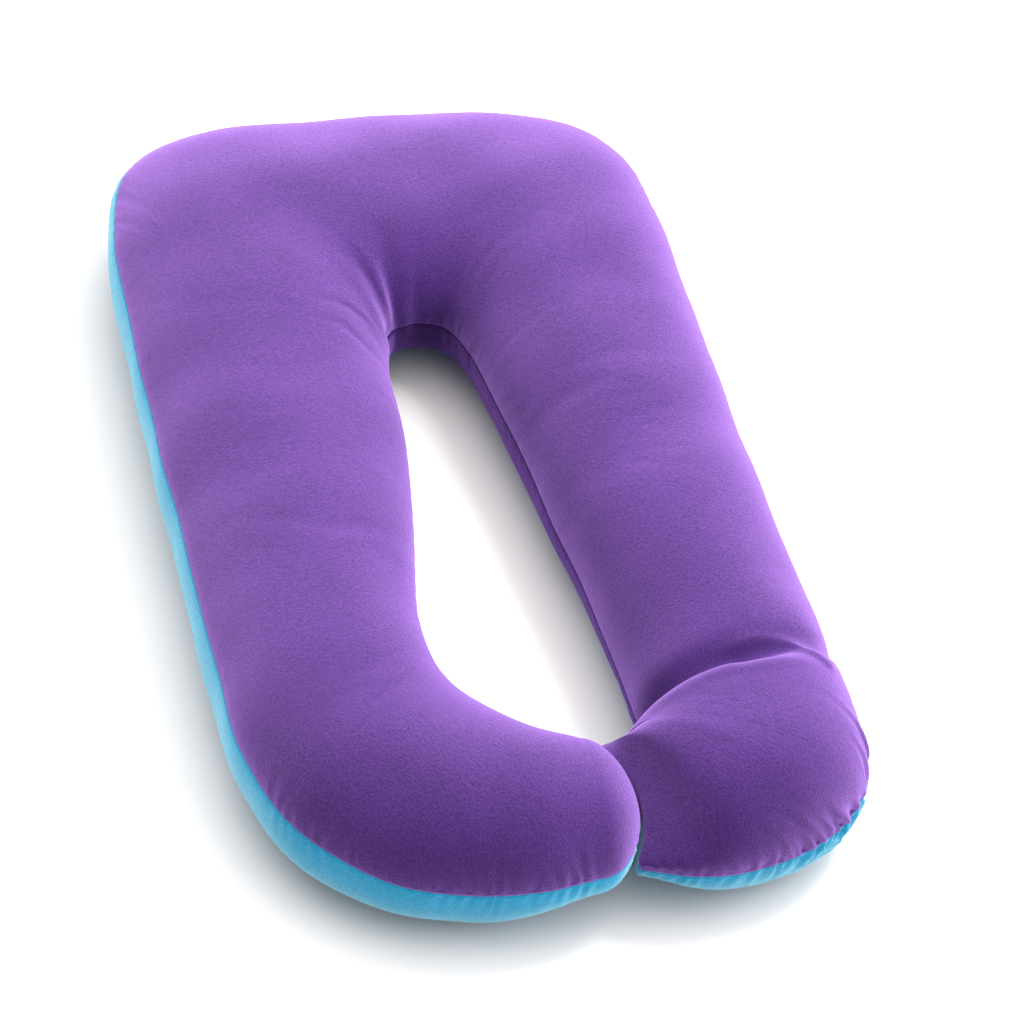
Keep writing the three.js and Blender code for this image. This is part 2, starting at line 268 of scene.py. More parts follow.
# Gathers of the seams: from and to (rows of the station table), count, depth, width, length (mm),
# slant, and share on the other side of the seam
OUTER_GATHERS = [
    (-0.8, 0.2, 5, 1.6, 3.2, 22, 0.2, 0.9),
    (0.2, 2.4, 11, 2.8, 3.6, 26, 0.3, 0.9),
    (2.4, 4.5, 14, 1.1, 4, 24, 0.1, 1),
    (4.5, 10.0, 22, 0.35, 6, 26, 0.2, 0.8),
    (10.0, 11.4, 7, 1.7, 5, 48, -0.9, 0.4),
    (11.4, 15.0, 14, 0.5, 6, 30, 0.2, 0.8),
    (15.0, 17.0, 8, 1.0, 6, 34, 0.3, 0.8),
    (17.0, 22.0, 16, 0.35, 6, 26, 0.2, 0.8),
    (24.3, 25.8, 6, 1.8, 4, 40, -0.7, 0.7),
    (25.8, 26.6, 4, 6.5, 4.4, 40, -0.3, 0.9),
    (26.6, 28.2, 8, 5.5, 4.4, 36, 0.5, 1),
    (28.2, 31.0, 13, 3.2, 3.6, 24, 0.2, 1),
]
INNER_GATHERS = [
    (4.0, 10.0, 22, 0.5, 5, 24, 0.1, 1),
    (10.5, 17.0, 26, 1.2, 3.6, 20, 0.3, 1),
    (17.0, 22.0, 22, 0.6, 5, 26, 0.4, 1),
]


def smoothstep(x, low, high):
    t = np.clip((x - low) / (high - low), 0, 1)
    return t * t * (3 - 2 * t)


def bell(x):
    return np.exp(-x * x)


def curve_between(a, b, c, d, t):
    """A smooth curve from b to c, whose neighbours are a and d, at the share t of the way."""
    bend = 2 * a - 5 * b + 4 * c - d
    twist = -a + 3 * b - 3 * c + d
    return 0.5 * (2 * b + (c - a) * t + bend * t * t + twist * t ** 3)


def curve_weights(t):
    """Weights of a, b, c and d in that curve."""
    return (
        0.5 * (-t + 2 * t ** 2 - t ** 3),
        0.5 * (2 - 5 * t ** 2 + 3 * t ** 3),
        0.5 * (t + 4 * t ** 2 - 3 * t ** 3),
        0.5 * (-t ** 2 + t ** 3),
    )


def station_values(u):
    """Rows of the station table at u, on the smooth curve through its values."""
    i = np.minimum(np.floor(u).astype(int), LAST - 1)
    t = (u - i)[:, None]
    b, c = TABLE[i], TABLE[i + 1]
    a = np.where(i[:, None] > 0, TABLE[np.maximum(i - 1, 0)], 2 * b - c)
    d = np.where(i[:, None] + 2 <= LAST, TABLE[np.minimum(i + 2, LAST)], 2 * c - b)
    return curve_between(a, b, c, d, t)


def sections(u):
    """Sections of the tube at u: middle, outward direction, half width, height, seams and strip."""
    v = station_values(u)
    outer = np.column_stack([v[:, 0], v[:, 1], np.full(len(v), WIDEST_LEVEL)])
    inner = np.column_stack([v[:, 2], v[:, 3], np.full(len(v), WIDEST_LEVEL)])
    across = outer - inner
    width = np.linalg.norm(across, axis=1)
    left_lift = 1 - smoothstep(u, 0, LEFT_LIFT_ROWS)
    right_lift = smoothstep(u, LAST - RIGHT_LIFT_ROWS, LAST)
    left_end = smoothstep(u, *BAND_WIDENS)
    right_end = 1 - smoothstep(u, *BAND_NARROWS)
    return {
        "u": u,
        "middle": (outer + inner) / 2,
        "half": width / 2,
        "outward": across / width[:, None],
        "height": v[:, 4],
        "seam": v[:, 5],
        "inner_seam": v[:, 6],
        "shrink": np.ones(len(v)),
        "lift": TOE_LIFT * np.maximum(left_lift, right_lift),
        "band": np.maximum(BAND_END_SHARE, np.minimum(left_end, right_end)),
    }


def tip_sections(base, forward, length, count):
    """Sections that close a tip: the base section slides forward and shrinks."""
    along = np.sin(np.arange(1, count) / count * math.pi / 2)
    shrink = (1 - along ** TIP_POWER) ** (1 / TIP_POWER)
    tip = {name: np.repeat(value, count - 1, axis=0) for name, value in base.items()}
    tip["middle"] = base["middle"] + np.outer(length * along, forward)
    tip["shrink"] = shrink
    tip["half"] = base["half"] * shrink
    return tip


def row_positions(spacing):
    """Places u on the station table, the spacing apart along the outer rail and closer on the feet."""
    fine = np.linspace(0, LAST, RAIL_SAMPLES)
    v = station_values(fine)
    steps = np.hypot(np.diff(v[:, 0]), np.diff(v[:, 1]))
    inner_steps = np.hypot(np.diff(v[:, 2]), np.diff(v[:, 3]))
    left_foot = 1 - smoothstep(fine[1:], *LEFT_FOOT_ENDS)
    right_foot = smoothstep(fine[1:], *RIGHT_FOOT_STARTS)
    fineness = 1 + FEET_FINENESS * np.maximum(left_foot, right_foot)
    longest = np.maximum(steps, INNER_RAIL_SHARE * inner_steps)
    along = np.concatenate([[0], np.cumsum(longest * fineness)])
    return np.interp(np.linspace(0, along[-1], round(along[-1] / spacing) + 1), along, fine)


def all_sections(spacing, tip_rows):
    """Every section from the left tip to the right, the left end's base and direction, and both poles."""
    left_rows, right_rows = tip_rows
    body = sections(row_positions(spacing))
    left = {name: value[:1] for name, value in body.items()}
    right = {name: value[-1:] for name, value in body.items()}
    left_forward = -np.cross(left["outward"][0], UP)
    right_forward = np.cross(right["outward"][0], UP)
    left_tip = tip_sections(left, left_forward, LEFT_TIP_LENGTH, left_rows)
    right_tip = tip_sections(right, right_forward, RIGHT_TIP_LENGTH, right_rows)
    joined = {
        name: np.concatenate([left_tip[name][::-1], body[name], right_tip[name]]) for name in body
    }
    poles = (
        left["middle"][0] + LEFT_TIP_LENGTH * left_forward,
        right["middle"][0] + RIGHT_TIP_LENGTH * right_forward,
    )
    return joined, (left, left_forward), poles


def tube_points(s, angles):
    """Points of the plain tube, at an array of angles for each section of s."""
    c = np.cos(np.radians(angles))
    h = np.sin(np.radians(angles))
    power = np.where(h >= 0, CROWN_POWER, BELLY_POWER)
    side = np.sign(c) * np.abs(c) ** (2 / power) * s["half"][:, None]
    rise = np.abs(h) ** (2 / power) * s["shrink"][:, None]
    points = s["middle"][:, None, :] + side[..., None] * s["outward"][:, None, :]
    crown = WIDEST_LEVEL + (s["height"][:, None] - WIDEST_LEVEL) * rise
    drop = (WIDEST_LEVEL + FLATTENING - s["lift"][:, None]) * rise
    belly = np.maximum(0, WIDEST_LEVEL - drop)
    points[..., 2] = np.where(h >= 0, crown, belly)
    return points


def spaced(length, count, edges):
    """count + 1 places along each length: fine steps at both ends and even ones between."""
    k = len(edges)
    scale = np.minimum(1, length / (EDGES_ROOM * edges[-1]))[:, None]
    first = edges[None, :] * scale
    last = length[:, None] - first[:, ::-1]
    t = np.linspace(0, 1, count + 1 - 2 * k + 2)[1:-1]
    middle = first[:, -1:] + (last[:, :1] - first[:, -1:]) * t[None, :]
    return np.concatenate([first, middle, last], axis=1)


def zone_angles(s, low, high, count, edges):
    """Angles of one zone's columns, spaced by length along the section, and those lengths."""
    t = np.linspace(0, 1, PROFILE_SAMPLES)
    angles = low[:, None] + (high - low)[:, None] * t[None, :]
    profile = tube_points(s, angles)
    steps = np.linalg.norm(np.diff(profile, axis=1), axis=2)
    along = np.concatenate([np.zeros((len(steps), 1)), np.cumsum(steps, axis=1)], axis=1)
    places = spaced(along[:, -1], count, edges)
    found = np.array([np.interp(p, a, g) for p, a, g in zip(places, along, angles)])
    return found, places


class Skin:
    """The pillow's skin as a grid: a row for each section and a column for each place round it."""

    def __init__(self, spacing, tip_rows, columns, edges):
        self.sections, self.left_end, poles = all_sections(spacing, tip_rows)
        self.poles = np.array(poles)
        self.columns = columns
        s = self.sections
        zones = self.zones(edges)
        parts = [zone_angles(s, *zone) for zone in zones]
        self.angles = np.concatenate([angles[:, :-1] for angles, _ in parts], axis=1)
        self.lengths = [places[:, -1] for _, places in parts]
        starts = np.cumsum([np.zeros(len(s["u"])), *self.lengths], axis=0)
        self.around = np.concatenate(
            [places[:, :-1] + start[:, None] for (_, places), start in zip(parts, starts)], axis=1
        )
        self.row_at = self.row_places(tip_rows)
        self.rows = len(s["u"])
        self.width = sum(columns)
        self.plain = tube_points(s, self.angles)

    def zones(self, edges):
        """The crown, the strip and the underside: first and last angle, columns and fine steps."""
        s = self.sections
        crown, band, base = self.columns
        inner = 180 - s["inner_seam"]
        lower = inner + (s["inner_seam"] + LOWER_SEAM_DROP) * s["band"]
        return [
            (s["seam"], inner, crown, edges),
            (inner, lower, band, edges[:BAND_EDGES]),
            (lower, s["seam"] + 360, base, edges),
        ]

    def row_places(self, tip_rows):
        """Each row's place on the station table. The tips reach one row past its ends."""
        left_rows, right_rows = tip_rows
        u = self.sections["u"]
        left_rings = np.arange(-left_rows + 1, 0) / left_rows
        right_rings = LAST + np.arange(1, right_rows) / right_rows
        body_rows = u[left_rows - 1:len(u) - right_rows + 1]
        return np.concatenate([left_rings, body_rows, right_rings])

    def signed(self, seam_column):
        """Length round the section from a seam's column, shortest way, positive past it."""
        whole = sum(self.lengths)[:, None]
        away = self.around - self.around[:, seam_column:seam_column + 1]
        return (away + whole / 2) % whole - whole / 2

    def outer_seam(self):
        return self.signed(0)

    def inner_seam(self):
        return self.signed(self.columns[0])

    def lower_seam(self):
        return self.signed(self.columns[0] + self.columns[1])

    def seam_run(self, column):
        """Length along a seam from the left tip to each row."""
        line = self.plain[:, column]
        steps = np.linalg.norm(np.diff(line, axis=0), axis=1)
        return np.concatenate([[0], np.cumsum(steps)])


def normals_of(points):
    """Outward direction at each point of a grid that is closed round its rows."""
    around = np.roll(points, -1, axis=1) - np.roll(points, 1, axis=1)
    along = np.gradient(points, axis=0)
    normal = np.cross(around, along)
    return normal / np.maximum(np.linalg.norm(normal, axis=2, keepdims=True), TINY)


def dented(points, left_end):
    """Points of the right foot, each moved forward at its own level, out of the left tip's space."""
    base, forward = left_end
    away = points - base["middle"][0]
    side = np.abs(away @ base["outward"][0]) / (base["half"][0] + FOOT_GAP)
    above = away[..., 2] >= 0
    reach = np.where(above, base["height"][0] - WIDEST_LEVEL, WIDEST_LEVEL + FLATTENING)
    level = np.abs(away[..., 2]) / (reach + FOOT_GAP)
    power = np.where(above, CROWN_POWER, BELLY_POWER)
    size = np.minimum(1, (side ** power + level ** power) ** (1 / power))
    front = (LEFT_TIP_LENGTH + FOOT_GAP) * (1 - size ** TIP_POWER) ** (1 / TIP_POWER)
    push = DENT_BLEND * np.logaddexp(0, (front - away @ forward) / DENT_BLEND)
    return points + push[..., None] * forward


def smooth_line(path):
    """A smooth line, in metres, through the points of a path in mm."""
    p = np.array(path, float) * MM
    p = np.concatenate([[2 * p[0] - p[1]], p, [2 * p[-1] - p[-2]]])
    u = np.linspace(0, len(p) - 3, PATH_SAMPLES)
    i = np.minimum(u.astype(int), len(p) - 4)
    t = (u - i)[:, None]
    return curve_between(p[i], p[i + 1], p[i + 2], p[i + 3], t)


def near_line(points, line):
    """Plan distance to a line, the share of the way along it, and the direction to its left.

    The distance is positive on the left.
    """
    best = np.full(points.shape[:-1], np.inf)
    side = np.zeros(points.shape[:-1])
    along = np.zeros(points.shape[:-1])
    left = np.zeros((*points.shape[:-1], 2))
    for i in range(len(line) - 1):
        step = line[i + 1] - line[i]
        size = np.hypot(*step)
        away = points[..., :2] - line[i]
        t = np.clip((away @ step) / size ** 2, 0, 1)
        apart = away - t[..., None] * step
        distance = np.hypot(apart[..., 0], apart[..., 1])
        turn = step[0] * away[..., 1] - step[1] * away[..., 0]
        closer = distance < best
        best = np.where(closer, distance, best)
        side = np.where(closer, np.sign(turn), side)
        along = np.where(closer, (i + t) / (len(line) - 1), along)
        left[closer] = np.array([-step[1], step[0]]) / size
    return best * side, along, left


class Pillow:
    """The detailed skin: folds, seams and gathers on the plain tube, then the dent of the feet."""

    def __init__(self, skin):
        self.skin = skin
        self.points = skin.plain.copy()
        self.normals = normals_of(self.points)
        angle = (skin.angles + 90) % 360 - 90
        folded = np.where(angle < 90, angle, 180 - angle)
        self.fade = smoothstep(folded, -FOLD_FADE, FOLD_FADE / 2) * skin.sections["shrink"][:, None]

    def refresh(self):
        self.normals = normals_of(self.points)

    def push(self, depth):
        """Draws the skin in by a depth at each point, along its own direction."""
        self.points -= self.normals * depth[..., None]

    def push_rows(self, rows, depth):
        """Draws some rows in, but not the underside."""
        depth = depth * self.fade[rows]
        self.points[rows] -= self.normals[rows] * depth[..., None]

    def fold(self, path, start, end, width, rows):
        """A soft valley along a path in plan, or a ridge where the depth is negative."""
        across, along, _ = near_line(self.points[rows], smooth_line(path))
        depth = (start + (end - start) * along) * MM * bell(across / (width * MM))
        if start < 0:
            depth = depth * smoothstep(along, 0, RIDGE_RISE)
        self.push_rows(rows, depth)

    def lip(self, fold, rows):
        """A fold whose near side stands up in a round lip that leans over the valley behind it."""
        across, along, left = near_line(self.points[rows], smooth_line(fold["path"]))
        across = across / MM
        gone = 1 - along
        depth = fold["end_depth"] + (fold["depth"] - fold["end_depth"]) * gone
        width = np.where(across > 0, fold["far_width"], fold["near_width"])
        valley = depth * bell(across / width)
        crest = fold["crest"] * gone * bell((across + fold["crest_at"]) / fold["crest_width"])
        lean = fold["lean"] * gone * bell((across + fold["lean_at"]) / fold["lean_width"])
        self.push_rows(rows, (valley - crest) * MM)
        self.points[rows, :, :2] += left * (lean * MM * self.fade[rows])[..., None]

    def gather(self, along, away, gathers):
        """Short folds that run from a seam: a narrow valley between two low ridges each."""
        depth = np.zeros(self.points.shape[:2])
        for g in gathers:
            rows = np.nonzero(np.abs(along - g["at"]) < GATHER_REACH)[0]
            distance = np.abs(away[rows])
            ahead = along[rows][:, None] - g["at"] - g["slant"] * distance
            x = ahead / (g["width"] * (1 + GATHER_FLARE * distance / g["length"]))
            shape = bell(x) - RIDGE_SHARE * bell((np.abs(x) - RIDGE_PLACE) / RIDGE_WIDTH)
            side = np.where(away[rows] >= 0, 1.0, g["other_side"])
            held = SEAM_SHARE + (1 - SEAM_SHARE) * smoothstep(distance, 0, SEAM_HOLD)
            fade = np.exp(-(distance / g["length"]) ** GATHER_FADE)
            depth[rows] += g["depth"] * shape * held * fade * side
        self.push(depth)

    def finish(self):
        """Dents the right foot round the left tip and lays the skin on the floor."""
        dented_rows = self.skin.row_at >= LAST - DENTED_ROWS
        moved = dented(self.points, self.skin.left_end)
        self.points = np.where(dented_rows[:, None, None], moved, self.points)
        self.points[..., 2] = np.maximum(self.points[..., 2], 0)
        right_pole = dented(self.skin.poles[1:2], self.skin.left_end)
        self.poles = np.concatenate([self.skin.poles[:1], right_pole])
        self.refresh()


def random_gathers(rng, row_at, along, spans):
    """Gathers at uneven places over spans of the station table, each with its own size."""
    made = []
    for start, end, count, depth, width, length, slant, other in spans:
        first, last = np.interp((start, end), row_at, along)
        places = (np.arange(count) + rng.uniform(*PLACE_RANGE, count)) / count
        for place in places:
            made.append({
                "at": first + (last - first) * place,
                "depth": depth * rng.uniform(*DEPTH_RANGE) * MM,
                "width": width * rng.uniform(*WIDTH_RANGE) * MM,
                "length": length * rng.uniform(*LENGTH_RANGE) * MM,
                "slant": slant + rng.uniform(*SLANT_RANGE),
                "other_side": other,
            })
    return made


def swells(points, rng):
    """Soft unevenness of the filling: waves of many directions, about 1 in all."""
    total = np.zeros(points.shape[:-1])
    for _ in range(SWELL_WAVES):
        direction = rng.normal(size=3)
        direction *= 2 * math.pi / (np.linalg.norm(direction) * rng.uniform(*SWELL_LENGTHS))
        total += np.sin(points @ direction + rng.uniform(0, 2 * math.pi))
    return total / math.sqrt(SWELL_WAVES / 2)


def mesh_object(name, points, faces):
    """A smooth-shaded object from points and faces."""
    mesh = bpy.data.meshes.new(name)
    mesh.from_pydata([tuple(p) for p in points], [], faces)
    mesh.validate()
    mesh.polygons.foreach_set("use_smooth", [True] * len(mesh.polygons))
    mesh.update()
    obj = bpy.data.objects.new(name, mesh)
    bpy.context.scene.collection.objects.link(obj)
    return obj


def tube_faces(rows, ring):
    """Faces of a tube of rings. Its two poles come after the rings' points, the left one first."""
    faces = []
    for k in range(rows - 1):
        for j in range(ring):
            n = (j + 1) % ring
            faces.append((k * ring + j, k * ring + n, (k + 1) * ring + n, (k + 1) * ring + j))
    left_pole = rows * ring
    right_pole = left_pole + 1
    last = (rows - 1) * ring
    for j in range(ring):
        n = (j + 1) % ring
        faces.append((left_pole, n, j))
        faces.append((right_pole, last + j, last + n))
    return faces


def cover_settings(settings):
    """Pressure from inside, no gravity, and seams that shrink."""
    settings.quality = SIM_QUALITY
    settings.mass = CLOTH_MASS
    settings.tension_stiffness = STRETCH_STIFFNESS
    settings.compression_stiffness = STRETCH_STIFFNESS
    settings.shear_stiffness = SHEAR_STIFFNESS
    settings.bending_stiffness = BENDING_STIFFNESS
    settings.use_pressure = True
    settings.uniform_pressure_force = PRESSURE
    settings.vertex_group_mass = "held"
    settings.vertex_group_shrink = "seams"
    settings.shrink_max = SEAM_SHRINK
    settings.effector_weights.gravity = 0


def cover_groups(cover, skin, points):
    """Marks where the cover shrinks, near its seams, and where it is held, on the floor."""
    seams = cover.vertex_groups.new(name="seams")
    held = cover.vertex_groups.new(name="held")
    near_outer = bell(skin.outer_seam() / SHRINK_REACH)
    near_inner = bell(skin.inner_seam() / SHRINK_REACH)
    for i, weight in enumerate(np.maximum(near_outer, near_inner).ravel()):
        if weight > LEAST_SHRINK:
            seams.add([i], float(weight), "REPLACE")
    resting = np.nonzero(points[:, 2] < RESTING_LEVEL)[0]
    held.add([int(i) for i in resting], 1.0, "REPLACE")
    held.add([len(points) - 2, len(points) - 1], 1.0, "REPLACE")


def simulated(skin):
    """How far cloth filled with pressure moves from the plain skin, at each point of the grid."""
    points = np.concatenate([skin.plain.reshape(-1, 3), skin.poles])
    cover = mesh_object("cover", points, tube_faces(skin.rows, skin.width))
    cover_groups(cover, skin, points)
    cover_settings(cover.modifiers.new("cloth", "CLOTH").settings)
    scene = bpy.context.scene
    for number in range(1, SIM_FRAMES + 1):
        scene.frame_set(number)
    shown = cover.evaluated_get(bpy.context.evaluated_depsgraph_get())
    moved = np.zeros(len(points) * 3)
    shown.data.vertices.foreach_get("co", moved)
    scene.frame_set(1)
    bpy.data.objects.remove(cover)
    offset = moved.reshape(-1, 3) - points
    return offset[:-2].reshape(skin.rows, skin.width, 3)


def averaged(values, reach, axis, mode):
    """The values averaged over some neighbours each way along one axis."""
    weights = bell(np.linspace(-BLUR_TAIL, BLUR_TAIL, 2 * reach + 1))
    weights /= weights.sum()
    pad = [(0, 0)] * values.ndim
    pad[axis] = (reach, reach)
    padded = np.pad(values, pad, mode=mode)
    out = np.zeros_like(values)
    for i, weight in enumerate(weights):
        part = [slice(None)] * values.ndim
        part[axis] = slice(i, i + values.shape[axis])
        out += weight * padded[tuple(part)]
    return out


def blurred(field, reach):
    """A field of the grid averaged along its rows and round its columns."""
    return averaged(averaged(field, reach, 0, "edge"), reach, 1, "wrap")


def capped(offset):
    """The offset with no point moved farther than the cap."""
    size = np.linalg.norm(offset, axis=2, keepdims=True)
    return offset * np.minimum(1, MOVE_CAP / np.maximum(size, TINY))


def grid_places(skin, coarse):
    """Row and column of the coarse grid at each row and point of the fine one, as fractions."""
    row_at = np.interp(skin.row_at, coarse.row_at, np.arange(coarse.rows))
    whole = sum(coarse.lengths)
    around = np.concatenate([coarse.around, whole[:, None]], axis=1)
    low = np.floor(row_at).astype(int).clip(0, coarse.rows - 2)
    share = (row_at - low)[:, None]
    around = around[low] * (1 - share) + around[low + 1] * share
    columns = np.arange(coarse.width + 1)
    column_at = np.array([np.interp(f, a, columns) for f, a in zip(skin.around, around)])
    return row_at, column_at


def sample_grid(field, row_at, column_at):
    """Value of a field on the coarse grid at fractional rows and columns, smoothly between them."""
    rows, width = field.shape[:2]
    r = np.clip(np.floor(row_at).astype(int), 0, rows - 2)
    c = np.floor(column_at).astype(int)
    row_weights = curve_weights(row_at - r)
    column_weights = curve_weights(column_at - c)
    out = np.zeros((*column_at.shape, field.shape[2]))
    for i, a in enumerate(row_weights):
        k = np.clip(r + i - 1, 0, rows - 1)
        for j, b in enumerate(column_weights):
            out += (a[:, None] * b)[..., None] * field[k[:, None], (c + j - 1) % width]
    return out


def cloth_offset(skin):
    """The simulated cloth's movement on the fine grid: a share of its swell and of its wrinkles."""
    coarse = Skin(SIM_SPACING, SIM_TIP_ROWS, SIM_COLUMNS, SIM_EDGES)
    offset = capped(simulated(coarse))
    broad = blurred(offset, BROAD_BLUR)
    wrinkles = blurred(offset, FINE_BLUR) - broad
    from_arch = np.hypot(coarse.plain[..., 0], coarse.plain[..., 1] - ARCH_PLACE) / ARCH_REACH
    broad *= SWELL_SHARE
    wrinkles *= (WRINKLE_SHARE + (ARCH_WRINKLE_SHARE - WRINKLE_SHARE) * bell(from_arch))[..., None]
    return sample_grid(broad + wrinkles, *grid_places(skin, coarse))


def drawn(distance, pairs):
    """How far a seam is drawn in at each distance from it."""
    return sum(depth * MM * bell(distance / (width * MM)) for depth, width in pairs)


def draw_seams(pillow):
    skin = pillow.skin
    depth = drawn(skin.outer_seam(), OUTER_DRAW)
    depth += drawn(skin.inner_seam(), INNER_DRAW)
    wide = (skin.sections["band"] > BAND_WIDE_SHARE)[:, None]
    depth += drawn(skin.lower_seam(), LOWER_DRAW) * wide
    pillow.push(depth * skin.sections["shrink"][:, None])


def gather_seams(pillow, rng):
    skin = pillow.skin
    for column, away, spans in (
        (0, skin.outer_seam(), OUTER_GATHERS),
        (skin.columns[0], skin.inner_seam(), INNER_GATHERS),
    ):
        along = skin.seam_run(column)
        pillow.gather(along, away, random_gathers(rng, skin.row_at, along, spans))


def rows_between(skin, limits):
    low, high = limits
    return np.nonzero((skin.row_at > low) & (skin.row_at < high))[0]


def dress(pillow):
    """Everything that the cloth does on the plain tube, broad forms first."""
    skin = pillow.skin
    rng = np.random.default_rng(SEED)
    high = smoothstep(pillow.points[..., 2], *SWELL_LEVELS)
    pillow.push(SWELL_DEPTH * swells(pillow.points, rng) * high)
    pillow.points += cloth_offset(skin)
    pillow.refresh()
    arch = rows_between(skin, ARCH_ROWS)
    buckled = rows_between(skin, BUCKLE_ROWS)
    for fold in ARCH_FOLDS:
        pillow.fold(*fold, arch)
    for fold in BUCKLE_FOLDS:
        pillow.fold(*fold, buckled)
    pillow.refresh()
    pillow.lip(BUCKLE, buckled)
    pillow.refresh()
    draw_seams(pillow)
    gather_seams(pillow, rng)
    pillow.refresh()


def build_body(pillow):
    """The stuffed body: its cloth where it shows, set back by one thickness elsewhere."""
    skin = pillow.skin
    width = skin.width
    crown, band, _ = skin.columns
    back = pillow.points - pillow.normals * (CLOTH + PIECE_GAP)
    back[..., 2] = np.maximum(back[..., 2], CLOTH + PIECE_GAP)
    covered = [
        crown,
        *range(crown + BACK_START, crown + band, BACK_BAND_STEP),
        *range(crown + band, width - BACK_END, BACK_BASE_STEP),
        width,
    ]
    rings = [pillow.points[:, j % width] for j in range(crown + 1)]
    rings += [back[:, j % width] for j in covered]
    points = np.stack(rings, axis=1).reshape(-1, 3)
    points = np.concatenate([points, pillow.poles])
    return mesh_object("stuffed_body", points, tube_faces(skin.rows, len(rings)))


def sheet_faces(rows, width):
    """Faces of a grid's outer and inner side, and of its four edges."""
    shift = rows * width
    faces = []
    for k in range(rows - 1):
        for j in range(width - 1):
            a, b = k * width + j, k * width + j + 1
            c, d = b + width, a + width
            faces.append((a, b, c, d))
            faces.append((shift + d, shift + c, shift + b, shift + a))
        a, d = k * width, (k + 1) * width
        faces.append((a, d, shift + d, shift + a))
        b, c = a + width - 1, d + width - 1
        faces.append((b, shift + b, shift + c, c))
    for j in range(width - 1):
        a, b = j, j + 1
        faces.append((a, shift + a, shift + b, b))
        c, d = (rows - 1) * width + j, (rows - 1) * width + j + 1
        faces.append((c, d, shift + d, shift + c))
    return faces


def set_edge_back(grid, edge, beside):
    """Moves a grid's edge column by one gap towards the column beside it."""
    across = grid[:, beside] - grid[:, edge]
    grid[:, edge] += across / np.linalg.norm(across, axis=1)[:, None] * PIECE_GAP


def build_panel(name, pillow, columns, rows):
    """A sewn panel of some columns and rows: one thickness of cloth, closed at its edges."""
    places = [j % pillow.skin.width for j in columns]
    outer = pillow.points[rows][:, places].copy()
    normal = pillow.normals[rows][:, places]
    set_edge_back(outer, 0, 1)
    set_edge_back(outer, -1, -2)
    inner = outer - normal * CLOTH
    points = np.concatenate([outer.reshape(-1, 3), inner.reshape(-1, 3)])
    return mesh_object(name, points, sheet_faces(*outer.shape[:2]))


def new_material(name, roughness, shine):
    """A material, its node tree and its shader, with a roughness and a strength of reflection."""
    material = bpy.data.materials.new(name)
    material.use_nodes = True
    tree = material.node_tree
    shader = tree.nodes["Principled BSDF"]
    shader.inputs["Roughness"].default_value = roughness
    shader.inputs["Specular IOR Level"].default_value = shine
    return material, tree, shader


def add_noise(tree, vector, scale, detail):
    noise = tree.nodes.new("ShaderNodeTexNoise")
    noise.inputs["Scale"].default_value = scale
    noise.inputs["Detail"].default_value = detail
    tree.links.new(vector, noise.inputs["Vector"])
    return noise.outputs["Fac"]


def add_brushing(tree, vector, turn):
    """Streaks of the pile, brushed in one direction in plan."""
    turned = tree.nodes.new("ShaderNodeMapping")
    turned.vector_type = "TEXTURE"
    turned.inputs["Rotation"].default_value = (0, 0, math.radians(turn))
    turned.inputs["Scale"].default_value = (STREAK_LENGTH, 1, 1)
    tree.links.new(vector, turned.inputs["Vector"])
    return add_noise(tree, turned.outputs["Vector"], STREAK_SCALE, PILE_DETAIL)


def add_mix(tree, factor, first, second):
    """Mix of two values by a fixed share or by another node's output."""
    mix = tree.nodes.new("ShaderNodeMix")
    if isinstance(factor, float):
        mix.inputs["Factor"].default_value = factor
    else:
        tree.links.new(factor, mix.inputs["Factor"])
    tree.links.new(first, mix.inputs["A"])
    tree.links.new(second, mix.inputs["B"])
    return mix.outputs["Result"]


def add_range(tree, value, limits):
    """0 below the lower limit, 1 above the upper one and even between them."""
    node = tree.nodes.new("ShaderNodeMapRange")
    node.inputs["From Min"].default_value = limits[0]
    node.inputs["From Max"].default_value = limits[1]
    tree.links.new(value, node.inputs["Value"])
    return node


def add_leg_mask(tree, vector):
    """0 on the feet and 1 on the legs and the head end, by the place along the pillow."""
    parts = tree.nodes.new("ShaderNodeSeparateXYZ")
    tree.links.new(vector, parts.inputs["Vector"])
    return add_range(tree, parts.outputs["Y"], FEET_EDGE).outputs["Result"]


def add_pile(tree, place):
    """Streaks that lie one way on the legs and another on the feet, with a fine grain."""
    feet_pile = add_brushing(tree, place, FEET_BRUSHING)
    leg_pile = add_brushing(tree, place, LEG_BRUSHING)
    streaks = add_mix(tree, add_leg_mask(tree, place), feet_pile, leg_pile)
    grain = add_noise(tree, place, GRAIN_SCALE, PILE_DETAIL)
    return add_mix(tree, GRAIN_SHARE, streaks, grain)


def add_shades(tree, tone, colour, contrast):
    """A colour that is darker and lighter by its contrast where the tone is low and high."""
    shades = [tuple(c * (1 + k * contrast) for c in colour) for k in (-1, 0, 1)]
    ramp = tree.nodes.new("ShaderNodeValToRGB")
    elements = ramp.color_ramp.elements
    elements.new(TONE_PLACES[1])
    for element, place, shade in zip(elements, TONE_PLACES, shades):
        element.position = place
        element.color = (*shade, 1)
    tree.links.new(tone, ramp.inputs["Fac"])
    return ramp.outputs["Color"]


